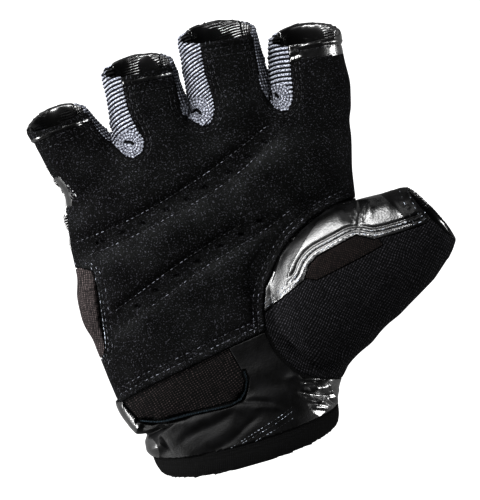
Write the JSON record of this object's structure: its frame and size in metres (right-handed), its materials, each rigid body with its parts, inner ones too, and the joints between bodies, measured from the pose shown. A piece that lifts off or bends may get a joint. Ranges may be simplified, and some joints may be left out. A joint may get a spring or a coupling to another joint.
{
  "type": "weightlifting glove",
  "caption": "Right-hand half-finger lifting glove with a padded palm, ribbed finger webs, a mesh thumb and a knit-bound cuff.",
  "frame": {"origin": "middle of the base of the bounding box, on the surface that the back of the glove lies on", "axes": "+Y along the hand from the cuff to the fingers, +X towards the thumb, +Z out of the palm"},
  "size_m": [0.1376, 0.1532, 0.0495],
  "materials": {
    "suede": "near-black split leather, brushed to a short dull nap",
    "smooth_leather": "thin black grain leather, finished smooth and fairly glossy",
    "rib_knit": "light lilac-grey elastic knit with raised cross ribs",
    "air_mesh": "black knitted mesh with rows of small raised loops",
    "flat_knit": "dark grey-brown flat elastic knit",
    "insert_knit": "dark two-tone elastic knit",
    "binding_knit": "black folded binding tape",
    "piping": "light grey-blue woven edge strip"
  },
  "bodies": {
    "root": {"cuff_hem": "binding_knit", "side_knit": "flat_knit", "web_little_ring": "rib_knit", "web_ring_middle": "rib_knit", "web_middle_index": "rib_knit", "palm_panel": "suede", "wrist_insert": "insert_knit", "wrist_piping": "piping", "thumb_leather": "smooth_leather", "thumb_patch": "flat_knit", "thumb_mesh": "air_mesh", "cuff_leather": "smooth_leather", "back_panel": "smooth_leather"}
  },
  "joints": []
}
